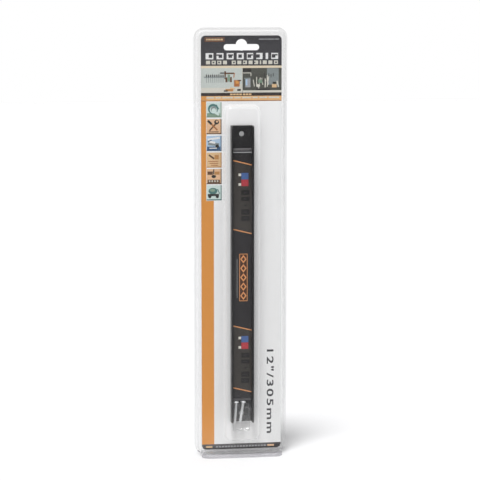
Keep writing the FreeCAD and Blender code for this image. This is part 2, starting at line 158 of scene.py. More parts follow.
def copy_of(node, name):
    """A merged copy of a CAD node's mesh, with its flat faces made whole again, as a new piece."""
    piece = nodes[node].copy()
    piece.data = nodes[node].data.copy()
    piece.name = piece.data.name = name
    piece.parent = None
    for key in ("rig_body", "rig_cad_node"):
        if key in piece:
            del piece[key]
    bpy.context.scene.collection.objects.link(piece)
    select(piece)
    piece.data.materials.clear()
    bpy.ops.object.mode_set(mode="EDIT")
    bpy.ops.mesh.select_all(action="SELECT")
    bpy.ops.mesh.customdata_custom_splitnormals_clear()
    bpy.ops.mesh.remove_doubles(threshold=0.002 * MM)
    bpy.ops.mesh.dissolve_limited(angle_limit=math.radians(0.5))
    bpy.ops.object.mode_set(mode="OBJECT")
    return piece


def soften_edges(piece, width_mm, segments=2, sharp=40):
    """Round the piece's edges by a bevel that is applied, and shade what is smooth as smooth."""
    select(piece)
    bevel = piece.modifiers.new("rounded_edges", "BEVEL")
    bevel.width = width_mm * MM
    bevel.segments = segments
    bevel.limit_method = "ANGLE"
    bevel.angle_limit = math.radians(sharp)
    bpy.ops.object.modifier_apply(modifier=bevel.name)
    bpy.ops.object.shade_smooth_by_angle(angle=math.radians(sharp))


def stands_for(piece, node):
    """The piece takes the CAD node's place and rides on its body."""
    body = next(b for b, members in frame["record"]["behaviour"]["bodies"].items() if node in members)
    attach(piece, body)
    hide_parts(node)


clear_pet = clear_sheet("thermoformed_pet_sheet", "#fbfbfc", 0.003, 0.13, 0.06, 24, 0.04)
back_sheet = copy_of("back_shell", "back_shell_sheet")
back_sheet.data.materials.append(clear_pet)
soften_edges(back_sheet, 0.12)
stands_for(back_sheet, "back_shell")

crease = copy_of("living_hinge", "hinge_crease")
crease.data.materials.append(clear_pet)
soften_edges(crease, 0.1)
stands_for(crease, "living_hinge")


# ------------------------------------------------------------------ printed card
# White coated board, 0.4 mm thick, offset printed in flat inks and sealed with a water varnish. The
# sheet is printed, then die cut with its round corners and hang slot, so each ink ends in a clean line.
INKS = {
    "charcoal": "#424145", "cream": "#ecdcc0", "dark_band": "#3a3331", "orange_band": "#eebb80",
    "brown_line": "#a9713a", "orange": "#e6983f", "white": "#f4f4f4", "workshop": "#cdd4cf",
    "kitchen": "#55564f", "footer": "#454244", "steel": "#8d9696", "walnut": "#6b4a33",
    "soot": "#33312f", "rust": "#b8733f", "sand": "#e9c495", "bone": "#dedbcf", "sage": "#8ba58f",
    "teal": "#4f7f7c", "mist": "#d9ebe6", "sky": "#b5d0ea", "navy": "#3c5f86", "peach": "#efc39a",
    "amber": "#e3a055", "tan": "#c98f52", "ash": "#a9aaad",
}
card_low, card_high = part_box("insert_card")
card_front = card_low.y
BAND_TOPS = {"charcoal": 431.1, "cream": 400.9, "picture": 398.6, "dark_band": 373.8,
             "orange_band": 370.6, "brown_line": 366.2, "body": 365.3, "footer": 12.1}
STRIPE_EDGE, STRIPE_WIDE, STRIPE_STEP = -35.5, -28.2, 264.8
PICTURE_SPLIT = 1.1
INK_MOTTLE = 0.075
BOARD_IOR = 1.5


def blend(material, share, light, dark):
    """Two inks or tints, mixed by a share."""
    mix = add(material, "ShaderNodeMix", {0: share, 6: light, 7: dark}, data_type="RGBA")
    return mix.outputs[2]


def opaque(material, tone, roughness, uneven, **more):
    """Finish the material as an opaque one with the given colour, roughness and relief."""
    sockets = {"Base Color": tone, "Roughness": roughness, "Normal": uneven, **more}
    shader = add(material, "ShaderNodeBsdfPrincipled", sockets)
    add(material, "ShaderNodeOutputMaterial", {"Surface": shader.outputs["BSDF"]})


def board_ink(name, code):
    """Ink on coated board: even, with the faint cloudiness of offset ink and a satin varnish."""
    material = bare_material(name)
    light = ink(code)
    dark = [c * (1 - INK_MOTTLE) for c in light[:3]] + [1.0]
    tone = blend(material, cloud(material, 3, 4.0), light, dark)
    opaque(material, tone, 0.38, ripple(material, 0.8, 0.004, 0.5), IOR=BOARD_IOR)
    return material


def body_board():
    """The unprinted board, near white at the top of the card and a little greyer towards its bottom."""
    material = bare_material("coated_white_board")
    place = add(material, "ShaderNodeTexCoord")
    split = add(material, "ShaderNodeSeparateXYZ", {"Vector": place.outputs["Object"]})
    rise = add(material, "ShaderNodeMapRange",
               {"Value": split.outputs["Z"], "From Min": card_low.z, "From Max": card_high.z})
    tone = blend(material, rise.outputs["Result"], ink("#f1f1f1"), ink("#fefefe"))
    opaque(material, tone, 0.42, ripple(material, 0.8, 0.006, 0.5), IOR=BOARD_IOR)
    return material


inks = {name: board_ink(f"offset_ink_{name}", code) for name, code in INKS.items()}
board = body_board()


def split_at(piece, point, normal):
    """Cut the piece's faces along a plane, keeping both sides."""
    select(piece)
    bpy.ops.object.mode_set(mode="EDIT")
    bpy.ops.mesh.select_all(action="SELECT")
    bpy.ops.mesh.bisect(plane_co=point, plane_no=normal)
    bpy.ops.object.mode_set(mode="OBJECT")


def ink_of_card(x, z):
    """Which ink covers a place on the card's front, in mm."""
    band = [name for name, top in BAND_TOPS.items() if z < top][-1]
    if band == "picture":
        return "workshop" if x < PICTURE_SPLIT else "kitchen"
    if band != "body":
        return band
    stripe = STRIPE_EDGE if z > STRIPE_STEP else STRIPE_WIDE
    return "orange" if x < stripe else None


card = copy_of("insert_card", "printed_card")
for height in [*list(BAND_TOPS.values())[1:], STRIPE_STEP]:
    split_at(card, (0, 0, height * MM), (0, 0, 1))
for across in (STRIPE_EDGE, STRIPE_WIDE, PICTURE_SPLIT):
    split_at(card, (across * MM, 0, 0), (1, 0, 0))
card.data.materials.append(board)
card_inks = ["charcoal", "cream", "workshop", "kitchen", "dark_band", "orange_band", "brown_line",
             "orange", "footer"]
for name in card_inks:
    card.data.materials.append(inks[name])
for face in card.data.polygons:
    if face.normal.y < -0.9:
        covered = ink_of_card(face.center.x / MM, face.center.z / MM)
        face.material_index = card_inks.index(covered) + 1 if covered else 0
stands_for(card, "insert_card")


# ------------------------------------------------------------------ pictures and marks on the card
# Small printed scenes and signs: a workshop wall, a kitchen rail, six trade pictures, blocks that stand
# in for lettering, and the bar's length. Each ink is a film about a hundredth of a millimetre thick.
INK_STEP = 0.012        # from one layer of ink to the next, in mm
INK_THICKNESS = INK_STEP * 0.6


def mark(color, x, z, width, height, turn=0.0, layer=1, face=card_front):
    """A printed block with its middle at (x, z) mm, turned in degrees, as a one-face object."""
    depth = face - layer * INK_STEP * MM
    bpy.ops.mesh.primitive_plane_add(size=MM, location=(x * MM, depth, z * MM),
                                     rotation=(math.pi / 2, math.radians(turn), 0))
    block = bpy.context.object
    block.scale = (width, height, 1)
    block.data.materials.append(inks[color])
    return block


def spot(color, x, z, radius, layer=1, face=card_front, sides=20, flat=1.0):
    """A printed disc, or an ellipse if flat is not 1."""
    depth = face - layer * INK_STEP * MM
    bpy.ops.mesh.primitive_circle_add(vertices=sides, radius=radius * MM, fill_type="NGON",
                                      location=(x * MM, depth, z * MM),
                                      rotation=(math.pi / 2, 0, 0))
    disc = bpy.context.object
    disc.scale = (1, flat, 1)
    disc.data.materials.append(inks[color])
    return disc


def print_together(name, marks, body="card"):
    """Join the marks to one piece and give the ink its thickness."""
    select(*marks)
    bpy.ops.object.transform_apply(location=True, rotation=True, scale=True)
    if len(marks) > 1:
        bpy.ops.object.join()
    piece = bpy.context.object
    piece.name = piece.data.name = name
    film = piece.modifiers.new("film", "SOLIDIFY")
    film.thickness = INK_THICKNESS * MM
    film.offset = -1
    bpy.ops.object.modifier_apply(modifier=film.name)
    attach(piece, body)
    return piece


def greeked(color, left, right, z, height, widths, layer=1, gap=0.22):
    """A line of plain blocks in place of lettering; widths are the blocks' shares of the line."""
    total = sum(widths) + gap * (len(widths) - 1)
    blocks, at = [], left
    for share in widths:
        width = (right - left) * share / total
        blocks.append(mark(color, at + width / 2, z, width, height, layer=layer))
        at += width + (right - left) * gap / total
    return blocks


# header: a heavy line over a lighter one, and small marks in both corners
TITLE, SUBTITLE, CORNER = 410.5, 404.2, 427.1      # heights of the lines, in mm
header = greeked("white", -36.2, 37.4, TITLE, 6.2, [1.1, 1, 1, 1, .9, .9, .35, 1], gap=0.45)
for x in (-31.6, -21.6, -11.6, -1.6, 7.8, 16.6, 32.4):
    header.append(mark("charcoal", x + 0.3, TITLE, 3.6, 3.4, layer=2))
for x in (-26.9, -12.2, 7.8, 33.0):
    header.append(mark("charcoal", x + 1.2, TITLE + 1.1, 5.2, 1.4, layer=3))
header += greeked("bone", -35.8, -14.6, SUBTITLE, 3.6, [1, 1, 1, 1], gap=0.4)
header += greeked("bone", -9.8, 37.2, SUBTITLE, 3.6, [1, 1, 1, 1, 1, .35, 1, 1, 1], gap=0.4)
for x in (-28.3, -22.6, -7.6, 3.0, 13.4, 35.2):
    header.append(mark("charcoal", x, SUBTITLE, 1.8, 1.5, layer=2))
header.append(mark("rust", -27.2, CORNER, 19.6, 3.8))
header.append(mark("charcoal", -27.2, CORNER, 18.9, 3.1, layer=2))
header += greeked("sand", -35.6, -18.8, CORNER, 1.7, [.6, 1, 1, 1, 1, 1], layer=3)
header += greeked("ash", 17.8, 38.2, 427.4, 0.9, [2, .8, 2.4, 1.6])
print_together("header_marks", header)

# left picture: a pale workshop with a rail of drivers, pliers and an orange tool case
workshop = [mark("bone", -19.9, 376.4, 41.8, 5.0), mark("steel", -27.0, 389.5, 22.0, 1.3, layer=2)]
for i in range(9):
    hook = -35.4 + i * 2.1
    workshop.append(mark("steel", hook, 388.4 - (i % 3) * 0.6, 0.6, 9.0 - (i % 3) * 1.4))
    workshop.append(mark("soot", hook, 390.9, 1.1, 2.4, layer=3))
workshop += [mark("walnut", -16.5, 391.5, 1.6, 8.0), mark("walnut", -12.0, 393.3, 9.0, 1.5, layer=2),
             mark("soot", -19.5, 393.6, 4.5, 1.2), mark("walnut", -15.2, 386.8, 2.0, 5.0, layer=2),
             mark("sage", -12.8, 388.6, 2.4, 7.2), mark("walnut", -10.6, 387.0, 1.8, 5.2, layer=2),
             mark("rust", -4.6, 383.2, 5.8, 6.6), mark("amber", -4.2, 384.4, 3.4, 3.0, layer=2),
             mark("walnut", -2.0, 386.0, 3.4, 1.4, layer=3), mark("rust", -7.4, 391.4, 0.9, 5.0, 8),
             mark("tan", -12.2, 376.4, 8.0, 2.4, layer=2),
             mark("soot", -15.8, 375.6, 4.0, 1.4, layer=3),
             mark("sand", -9.0, 378.2, 5.0, 1.4, 12, layer=2), mark("bone", -0.9, 380.6, 2.2, 4.0, 20),
             mark("soot", -2.4, 376.6, 3.6, 2.0, layer=2),
             mark("bone", 0.85, 386.2, 0.6, 24.8, layer=4)]
print_together("picture_of_workshop", workshop)

# right picture: a dark kitchen wall with a rail, hanging ladles and pale pots on a worktop
kitchen = [mark("soot", 5.6, 396.6, 8.6, 3.4), mark("bone", 21.2, 375.0, 39.4, 2.2, layer=2),
           mark("bone", 5.6, 393.6, 8.0, 0.7, layer=2), mark("steel", 32.0, 390.0, 12.0, 16.5),
           mark("bone", 9.7, 392.0, 0.8, 3.0, layer=2), mark("ash", 6.6, 383.4, 5.2, 8.4, layer=2),
           mark("sky", 5.2, 384.2, 1.8, 6.0, layer=3), mark("steel", 6.0, 388.2, 6.4, 1.0, layer=3)]
for i in range(6):
    kitchen.append(mark("bone", 12.6 + i * 2.9, 383.4 + (i % 2) * 1.6, 0.8, 7.0 + (i % 3) * 2.0,
                        (i % 3 - 1) * 9, layer=2))
for i in range(5):
    kitchen.append(mark("soot", 23.6 + i * 2.2, 391.6 - (i % 2) * 0.9, 0.7, 3.2, layer=3))
kitchen += [spot("bone", 17.0, 380.8, 2.0, layer=3, flat=0.8),
            mark("sage", 19.4, 385.2, 4.4, 3.4, layer=2),
            mark("bone", 26.6, 386.6, 1.3, 10.0, -6, layer=3),
            mark("bone", 24.4, 383.2, 1.1, 7.0, 5, layer=3),
            mark("sand", 33.6, 380.6, 4.8, 3.4, layer=2), mark("soot", 33.6, 383.4, 3.4, 2.2, layer=3),
            mark("bone", 37.0, 382.4, 1.2, 6.4, -14, layer=3),
            mark("soot", 22.0, 377.0, 14.0, 1.6, layer=3)]
print_together("picture_of_kitchen", kitchen)

# bands: short light blocks on the dark and orange bands and on the footer
band_marks = greeked("sand", -11.4, 10.2, 372.2, 1.5, [1, 1, 1, 1, .01, 1, 1, 1])
band_marks += greeked("bone", -35.8, 38.6, 368.9, 1.5, [3, 2, 4, 2.4, 3.4, 2, 3, 4], gap=0.5)
band_marks.append(mark("amber", -38.2, 368.5, 5.4, 4.0))
band_marks += [mark("sand", -33.4, 9.3, 6.6, 1.7), mark("peach", 30.6, 9.3, 7.0, 1.7)]
band_marks += greeked("ash", -26.4, 25.4, 9.2, 1.5, [1] * 17, gap=0.55)
print_together("band_marks", band_marks)

# six trade pictures, each a tinted square with a plain sign and a shadow along two sides
SIGN = 15.3
SIGN_TOPS = (364.4, 347.5, 330.5, 313.7, 297.0, 280.4)
SIGN_GROUNDS = ("mist", "peach", "sky", "sand", "peach", "mist")
SIGN_FRAMES = ("sage", "walnut", "navy", "tan", "walnut", "teal")
signs = []
for top, ground, edge in zip(SIGN_TOPS, SIGN_GROUNDS, SIGN_FRAMES):
    z, x = top - SIGN / 2, STRIPE_EDGE + SIGN / 2
    signs += [mark("white", x, z, SIGN + 0.7, SIGN + 0.7), mark(ground, x, z, SIGN, SIGN, layer=2),
              mark(edge, x + SIGN / 2 - 0.5, z, 0.9, SIGN, layer=3),
              mark(edge, x, z - SIGN / 2 + 0.6, SIGN, 1.1, layer=3)]


def sign_middle(number):
    """The middle of a trade picture inside its shadow, in mm."""
    return STRIPE_EDGE + SIGN / 2 - 0.4, SIGN_TOPS[number] - SIGN / 2 + 0.3


x, z = sign_middle(0)      # garden: a coiled hose on grass
signs += [mark("sage", x, z - 5.2, 13.4, 3.4, layer=3), spot("teal", x - 0.6, z + 0.6, 5.2, layer=4),
          spot("mist", x - 0.2, z - 0.2, 3.7, layer=5), spot("steel", x, z + 0.4, 3.0, layer=6),
          spot("mist", x + 0.2, z - 0.8, 2.2, layer=7),
          mark("mist", x + 3.4, z - 4.0, 5.0, 2.4, 30, layer=6),
          mark("teal", x + 4.0, z + 2.6, 0.9, 5.4, -30, layer=8)]
x, z = sign_middle(1)      # workshop: a spanner across a hammer
signs += [mark("walnut", x - 0.4, z - 0.2, 1.5, 11.5, 42, layer=3),
          spot("soot", x + 3.0, z + 4.2, 2.4, layer=4),
          spot("peach", x + 3.4, z + 4.8, 1.1, layer=5), mark("rust", x, z, 1.5, 11.0, -44, layer=6),
          mark("soot", x - 4.0, z + 4.0, 5.2, 2.2, 44, layer=7),
          mark("walnut", x, z - 5.6, 10.0, 0.9, layer=4)]
x, z = sign_middle(2)      # garage: a car on the road
signs += [mark("white", x, z + 4.6, 12.4, 2.0, -8, layer=3),
          mark("navy", x, z - 5.2, 13.6, 3.6, layer=3),
          mark("steel", x, z - 1.0, 11.0, 3.0, 6, layer=4),
          mark("white", x - 1.4, z + 1.0, 6.2, 2.0, 10, layer=5),
          mark("navy", x - 4.0, z + 2.4, 4.2, 1.0, -22, layer=6),
          spot("soot", x + 3.6, z - 3.0, 1.8, layer=6),
          mark("white", x - 0.6, z - 5.0, 7.6, 0.9, layer=7)]
x, z = sign_middle(3)      # hobby: a cutter and three strokes
signs += [mark("walnut", x - 2.2, z + 3.0, 6.6, 1.8, 36, layer=3),
          mark("tan", x + 3.0, z + 2.6, 4.2, 4.6, layer=3)]
for i in range(3):
    signs.append(mark("rust", x - 0.4 + i * 0.6, z - 1.6 - i * 2.0, 10.4 - i * 1.6, 0.8, layer=4))
x, z = sign_middle(4)      # building: two drawers of fixings under a hanging lamp
signs += [mark("walnut", x - 3.6, z + 3.2, 5.4, 3.4, layer=3),
          mark("tan", x + 3.4, z + 3.2, 5.0, 3.2, layer=3),
          mark("soot", x, z + 4.6, 1.1, 5.0, layer=4), spot("soot", x, z - 0.2, 2.3, layer=4, flat=0.7),
          mark("walnut", x, z - 5.2, 12.6, 3.4, layer=3)]
for i in range(4):
    signs.append(mark("bone", x - 4.2 + i * 2.7, z - 5.0, 1.4, 1.8, layer=5))
x, z = sign_middle(5)      # garden shed: a mower on its base
signs += [spot("teal", x - 0.8, z + 1.6, 4.6, layer=3, flat=0.72),
          mark("soot", x - 0.4, z - 2.4, 11.4, 2.2, layer=4),
          spot("sage", x - 1.2, z + 2.4, 2.6, layer=4, flat=0.6),
          spot("soot", x - 4.0, z - 4.0, 1.7, layer=5),
          spot("soot", x + 3.6, z - 4.0, 1.7, layer=5),
          mark("teal", x + 5.0, z + 1.0, 0.9, 5.6, -24, layer=5)]
print_together("trade_pictures", signs)

# the bar's length, set to be read down the card, in inches and millimetres
LENGTH_MARK_TALL, LENGTH_MARK_LONG = 7.3, 88.0
bpy.ops.object.text_add()
length_mark = bpy.context.object
length_mark.data.body = '12"/305mm'
length_mark.data.space_character = 1.2
length_mark.data.offset = 0.018
length_mark.data.align_x = length_mark.data.align_y = "CENTER"
bpy.ops.object.convert(target="MESH")
length_mark.data.materials.append(inks["charcoal"])
length_mark.rotation_euler = (math.pi / 2, math.radians(90), 0)
length_mark.location = (29.5 * MM, card_front - INK_STEP * MM, 67.2 * MM)
length_mark.scale = (LENGTH_MARK_LONG * MM / length_mark.dimensions.x,
                     LENGTH_MARK_TALL * MM / length_mark.dimensions.y, 1)
print_together("length_mark", [length_mark])


# ------------------------------------------------------------------ steel channel
# A strip of 1.5 mm mild steel, punched with a screw hole at each end and folded to a channel, then powder
# coated black. The coat is satin, with a fine orange peel, and its folds are softly rounded.
def powder_coat():
    """Satin black powder coat, whose gloss drifts a little over the bar."""
    material = bare_material("black_powder_coat")
    drift = cloud(material, 9, 3.0)
    tone = blend(material, drift, ink("#1d1c1e"), ink("#262527"))
    gloss = add(material, "ShaderNodeMapRange", {"Value": drift, "To Min": 0.34, "To Max": 0.46})
    opaque(material, tone, gloss.outputs["Result"], ripple(material, 0.6, 0.02, 0.6, 3.0), IOR=1.5)
    return material


channel = copy_of("bar_channel", "folded_channel")
channel.data.materials.append(powder_coat())
soften_edges(channel, 0.25, 3)
stands_for(channel, "bar_channel")


# ------------------------------------------------------------------ tape, magnets and end stops
# Six blocks of sintered ferrite, ground flat, dull grey-black and finely grained, lie end to end on a
# white foam tape. A moulded stop closes the row at each end.
def solid_finish(name, light, dark, grain_mm, roughness, depth_mm):
    """An opaque surface whose colour and relief vary at the size of its grain."""
    material = bare_material(name)
    tone = blend(material, cloud(material, grain_mm, 5.0), ink(light), ink(dark))
    opaque(material, tone, roughness, ripple(material, grain_mm, depth_mm, 0.6))
    return material


ferrite = solid_finish("sintered_ferrite", "#3a393a", "#1f1e20", 0.7, 0.7, 0.05)
foam = solid_finish("polyethylene_foam_tape", "#e8e6df", "#cbc8bf", 0.4, 0.85, 0.05)
moulded = solid_finish("moulded_abs", "#5b595b", "#4c4a4c", 1.2, 0.45, 0.01)
bond = copy_of("bond_strip", "foam_tape_strip")
bond.data.materials.append(foam)
soften_edges(bond, 0.05)
stands_for(bond, "bond_strip")
magnets = sorted(name for name in nodes if name.startswith("magnet_block"))
for name in magnets:
    block = copy_of(name, f"{name}_ferrite")
    block.data.materials.append(ferrite)
    soften_edges(block, 0.15, 2, 30)
    stands_for(block, name)
for name in ("end_stop_bottom", "end_stop_top"):
    stop = copy_of(name, f"{name}_moulding")
    stop.data.materials.append(moulded)
    soften_edges(stop, 0.15, 2, 30)
    stands_for(stop, name)


# ------------------------------------------------------------------ printed film over the magnets
# A self-adhesive polyester film, printed in charcoal with slanting orange lines and grey-brown panels,
# matt varnished, and cut to the magnets' width. A pale grey band runs along its top.
label_low, label_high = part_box("label_strip")
label_face = label_low.y
SLANT = 0.25
LINE_HEIGHTS = (303.8, 233.9, 134.6, 70.3)
LINE_HALF = 0.55
label_inks = {
    "ground": solid_finish("film_ink_charcoal", "#2d2b2e", "#262426", 5.0, 0.36, 0.01),
    "panel": solid_finish("film_ink_grey_brown", "#403b37", "#393531", 5.0, 0.4, 0.01),
    "line": solid_finish("film_ink_orange", "#e8a266", "#dc945a", 5.0, 0.36, 0.01),
    # the pale grey of the band along the film's top
    "top_band": solid_finish("film_pale_grey_top", "#b9b9bb", "#a2a2a5", 5.0, 0.3, 0.01),
}
label = copy_of("label_strip", "printed_film")
for height in LINE_HEIGHTS:
    for edge in (-LINE_HALF, LINE_HALF):
        split_at(label, (0, 0, (height + edge) * MM), (SLANT, 0, 1))
# a pale grey band, 0.8 mm tall, runs along the film's top
TOP_BAND_EDGE = label_high.z / MM - 0.8
split_at(label, (0, 0, TOP_BAND_EDGE * MM), (0, 0, 1))
for material in label_inks.values():
    label.data.materials.append(material)


def ink_of_label(x, z):
    """Which of the label's inks covers a place, in mm; the lines slant down to the right."""
    if z > TOP_BAND_EDGE:
        return 3
    level = z + SLANT * x
    if any(abs(level - height) < LINE_HALF for height in LINE_HEIGHTS):
        return 2
    top, upper, lower, bottom = LINE_HEIGHTS
    return 1 if upper < level < top or bottom < level < lower else 0


for face in label.data.polygons:
    face.material_index = ink_of_label(face.center.x / MM, face.center.z / MM)
soften_edges(label, 0.03)
stands_for(label, "label_strip")

# signs on the film: a two-pole magnet and a row of dark blocks on each panel, a plate of diamonds in the
# middle
inks["shade"] = solid_finish("film_ink_shade", "#1d1b1a", "#191716", 5.0, 0.4, 0.01)
inks["pole_blue"] = solid_finish("film_ink_blue", "#4a6aa2", "#42609a", 5.0, 0.36, 0.01)
inks["pole_red"] = solid_finish("film_ink_red", "#bd3c46", "#b0343e", 5.0, 0.36, 0.01)
inks["glow"] = label_inks["line"]
inks["ground"] = label_inks["ground"]
inks["ember"] = solid_finish("film_ink_ember", "#4e2b19", "#462616", 5.0, 0.36, 0.01)
PLATE_X, PLATE_Z = 0.9, 186.8
DIAMONDS, DIAMOND_STEP = 5, 9.4


def film_mark(color, x, z, width, height, layer=1):
    """A printed block on the bar's film."""
    return mark(color, x, z, width, height, layer=layer, face=label_face)


def diamond(color, z, radius, layer):
    """A printed diamond on the middle plate."""
    return spot(color, PLATE_X, z, radius, layer=layer, face=label_face, sides=4, flat=1.3)


film_marks = []
for top in (294.2, 127.0):
    film_marks += [film_mark("pole_blue", 2.4, top - 4.0, 7.2, 6.6),
                   film_mark("pole_red", 2.4, top - 10.8, 7.2, 6.6),
                   film_mark("bone", -2.8, top - 2.6, 2.6, 2.6),
                   film_mark("bone", -2.8, top - 12.4, 2.6, 2.6)]
    for i, length in enumerate((6.4, 5.2, 2.2, 6.8, 6.2)):
        middle = top - 20.6 - i * 6.6
        film_marks.append(film_mark("shade", 3.0, middle, 8.6 if i != 2 else 2.6, length * 0.8))
        if i != 2:
            film_marks.append(film_mark("ground", 3.0, middle, 3.6, length * 0.3, layer=2))
film_marks += [film_mark("glow", PLATE_X, PLATE_Z, 8.4, 48.6),
               film_mark("ember", PLATE_X, PLATE_Z, 7.2, 47.4, layer=2)]
for i in range(DIAMONDS):
    diamond_at = PLATE_Z + (DIAMONDS - 1) / 2 * DIAMOND_STEP - i * DIAMOND_STEP
    film_marks += [diamond("glow", diamond_at, 3.3, layer=3), diamond("ember", diamond_at, 1.8, layer=4)]
film_marks.append(film_mark("ash", -5.6, 186.0, 0.35, 40.0))
print_together("film_signs", film_marks, "bar")


# ------------------------------------------------------------------ screws
# Two steel wood screws, cold headed with a round pan and a cross recess, thread rolled, and bright zinc
# plated, so they have a slightly milky, silver-white gloss.
def zinc_plate():
    """Bright zinc, milky white with a soft gloss."""
    material = bare_material("bright_zinc_plate")
    tone = blend(material, cloud(material, 2, 3.0), ink("#ffffff"), ink("#f0f2f4"))
    opaque(material, tone, 0.3, ripple(material, 0.5, 0.01, 0.4), Metallic=0.15)
    return material


HEAD_RADIUS, HEAD_HEIGHT, SCREW_LENGTH, THREAD_LENGTH = 2.8, 1.9, 24.4, 17.0
CROWN_RISE = HEAD_HEIGHT * 0.55
CORE_RADIUS, THREAD_RADIUS, THREAD_PITCH, POINT_LENGTH = 1.15, 1.6, 1.5, 5.0
RECESS_LONG, RECESS_WIDE, RECESS_TALL = 3.2, 0.7, 1.8
THREAD_STEPS, THREAD_HALF, THREAD_ROOT = 16, 0.4, CORE_RADIUS * 0.9
SCREW_PLACES = ((-6.2, -3.2), (1.4, -8.6))      # the head's x in mm, and the lean in degrees
zinc = zinc_plate()


def lathe_outline():
    """Half the screw's profile as (radius, height) from the crown's middle down to the point."""
    angles = [math.radians(a) for a in range(0, 91, 15)]
    dome = [(HEAD_RADIUS * math.sin(a), CROWN_RISE * math.cos(a) - CROWN_RISE) for a in angles]
    neck = [(HEAD_RADIUS, -HEAD_HEIGHT * 0.9), (HEAD_RADIUS - 0.15, -HEAD_HEIGHT),
            (CORE_RADIUS + 0.5, -HEAD_HEIGHT), (CORE_RADIUS + 0.2, -HEAD_HEIGHT - 0.4)]
    end = -HEAD_HEIGHT - SCREW_LENGTH
    return dome + neck + [(CORE_RADIUS, end + POINT_LENGTH), (0.0, end)]


def make_screw_model():
    """One screw's body at the origin, head up: spun, with a cross recess cut in its crown."""
    bpy.ops.mesh.primitive_plane_add(size=MM)
    screw = bpy.context.object
    bpy.ops.object.mode_set(mode="EDIT")
    bpy.ops.mesh.delete(type="VERT")
    bpy.ops.object.mode_set(mode="OBJECT")
    outline = lathe_outline()
    screw.data.from_pydata([(r * MM, 0, h * MM) for r, h in outline],
                           [(i, i + 1) for i in range(len(outline) - 1)], [])
    select(screw)
    bpy.ops.object.mode_set(mode="EDIT")
    bpy.ops.mesh.select_all(action="SELECT")
    bpy.ops.mesh.spin(steps=32, angle=math.tau, center=(0, 0, 0), axis=(0, 0, 1))
    bpy.ops.mesh.select_all(action="SELECT")
    bpy.ops.mesh.remove_doubles(threshold=0.001 * MM)
    bpy.ops.mesh.normals_make_consistent(inside=False)
    bpy.ops.object.mode_set(mode="OBJECT")
    for turn in (0, 90):
        bpy.ops.mesh.primitive_cube_add(size=MM, location=(0, 0, 0))
        blade = bpy.context.object
        blade.scale = (RECESS_LONG, RECESS_WIDE, RECESS_TALL)
        blade.rotation_euler = (0, 0, math.radians(turn))
        bpy.ops.object.transform_apply(location=True, rotation=True, scale=True)
        select(screw)
        cut = screw.modifiers.new("recess", "BOOLEAN")
        cut.operation, cut.object, cut.solver = "DIFFERENCE", blade, "EXACT"
        bpy.ops.object.modifier_apply(modifier=cut.name)
        bpy.data.objects.remove(blade)
    return screw


def make_thread():
    """The rolled thread: a ridge wound round the core, which runs out to nothing at the point."""
    turns = int(THREAD_LENGTH / THREAD_PITCH)
    start = -HEAD_HEIGHT - SCREW_LENGTH + THREAD_LENGTH
    ring, faces = [], []
    for i in range(turns * THREAD_STEPS + 1):
        angle = i / THREAD_STEPS * math.tau
        height = start - i / THREAD_STEPS * THREAD_PITCH
        left = height + HEAD_HEIGHT + SCREW_LENGTH
        taper = min(1.0, max(left, 0.3) / POINT_LENGTH)
        corners = ((THREAD_ROOT, THREAD_HALF), (THREAD_RADIUS, 0.0), (THREAD_ROOT, -THREAD_HALF))
        for radius, rise in corners:
            ring.append((radius * taper * math.cos(angle) * MM, radius * taper * math.sin(angle) * MM,
                         (height + rise * taper) * MM))
    for i in range(turns * THREAD_STEPS):
        a, b = i * 3, i * 3 + 3
        faces += [(a + k, a + (k + 1) % 3, b + (k + 1) % 3, b + k) for k in range(3)]
    faces += [(0, 1, 2), tuple(len(ring) - k for k in (1, 2, 3))]
    mesh = bpy.data.meshes.new("thread")
    mesh.from_pydata(ring, [], faces)
    thread = bpy.data.objects.new("thread", mesh)
    bpy.context.scene.collection.objects.link(thread)
    select(thread)
    bpy.ops.object.mode_set(mode="EDIT")
    bpy.ops.mesh.select_all(action="SELECT")
    bpy.ops.mesh.normals_make_consistent(inside=False)
    bpy.ops.object.mode_set(mode="OBJECT")
    return thread


screw_low, screw_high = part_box("mounting_screws")
HEAD_GAP = 0.6
head_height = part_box("end_stop_bottom")[0].z - HEAD_GAP * MM
screw_y = (screw_low.y + screw_high.y) / 2
screws = []
for head_x, lean in SCREW_PLACES:
    screw = make_screw_model()
    thread = make_thread()
    screw.data.materials.append(zinc)
    thread.data.materials.append(zinc)
    select(screw, thread)
    bpy.ops.object.join()
    screw.rotation_euler = (0, math.radians(-lean), 0)
    screw.location = (head_x * MM, screw_y, head_height)
    bpy.ops.object.transform_apply(location=True, rotation=True, scale=True)
    bpy.ops.object.shade_smooth_by_angle(angle=math.radians(40))
    screws.append(screw)
select(*screws)
bpy.ops.object.join()
pair = bpy.context.object
pair.name = pair.data.name = "wood_screws"
stands_for(pair, "mounting_screws")


# ------------------------------------------------------------------ screw bag
# A small bag of thin clear polythene film, heat sealed along its foot and pushed into the channel with the
# screws. The film is limp and creased all over, and each crease catches the light as a white line.
poly_film = clear_sheet("polythene_film", "#fdfdfe", 0.002, 0.06, 0.16, 2.6, 1.2)
bag_low, bag_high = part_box("screw_bag")
BAG_FILM, BAG_SEAL, BAG_CUTS = 0.1, 3.2, 40
SEAL_PINCH = 0.85       # how far the seal draws the two sides together
FOLD_ROOM_X, FOLD_ROOM_Y = 0.9, 1.5       # what the folds may add to the bag, in mm
middle = (bag_low + bag_high) / 2
bpy.ops.mesh.primitive_cube_add(size=1, location=middle)
bag = bpy.context.object
bag.name = bag.data.name = "creased_bag"
bag.dimensions = (bag_high.x - bag_low.x - FOLD_ROOM_X * MM,
                  bag_high.y - bag_low.y - FOLD_ROOM_Y * MM, bag_high.z - bag_low.z)
bpy.ops.object.transform_apply(location=True, rotation=True, scale=True)
bpy.ops.object.mode_set(mode="EDIT")
bpy.ops.mesh.select_all(action="DESELECT")
bpy.ops.mesh.select_mode(type="FACE")
bpy.ops.object.mode_set(mode="OBJECT")
for face in bag.data.polygons:
    face.select = face.normal.z > 0.9
